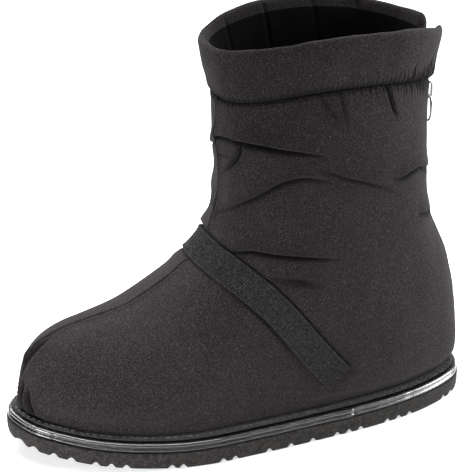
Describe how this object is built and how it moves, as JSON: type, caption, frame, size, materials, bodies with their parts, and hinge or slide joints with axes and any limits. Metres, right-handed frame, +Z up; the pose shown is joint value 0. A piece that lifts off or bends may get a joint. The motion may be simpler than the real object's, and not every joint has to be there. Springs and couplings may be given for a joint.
{
  "type": "overboot",
  "caption": "Padded fabric overboot on a flat lugged sole, with a soft cuff, an instep strap and a back zip with a ring pull.",
  "frame": {"origin": "centre of the footprint, on the floor", "axes": "+Z up, the toe points to -Y and the heel to +Y, +X is the outer side of the left foot"},
  "size_m": [0.1212, 0.3185, 0.2693],
  "materials": {
    "outsole": "matte, with fine speckle",
    "midsole": "matte",
    "binding": "glossy",
    "welt": "satin, stitched",
    "insole": "matte felt",
    "upper": "woven, padded",
    "cuff": "woven, padded",
    "strap": "ribbed webbing",
    "zip_tape": "woven tape",
    "zip_chain": "satin teeth",
    "zip_slider": "polished",
    "zip_pull": "polished"
  },
  "bodies": {
    "boot": {"outsole": "outsole", "midsole": "midsole", "binding": "binding", "welt": "welt", "insole": "insole", "upper": "upper", "cuff": "cuff", "strap": "strap", "zip_tape": "zip_tape", "zip_chain": "zip_chain", "zip_slider": "zip_slider"},
    "pull": {"zip_pull": "zip_pull"}
  },
  "joints": [
    {"name": "pull_swing", "type": "hinge", "parent": "boot", "child": "pull", "pos_m": [0, 0.12766, 0.21025], "axis": [1, 0, 0], "range_deg": [0, 170]}
  ]
}
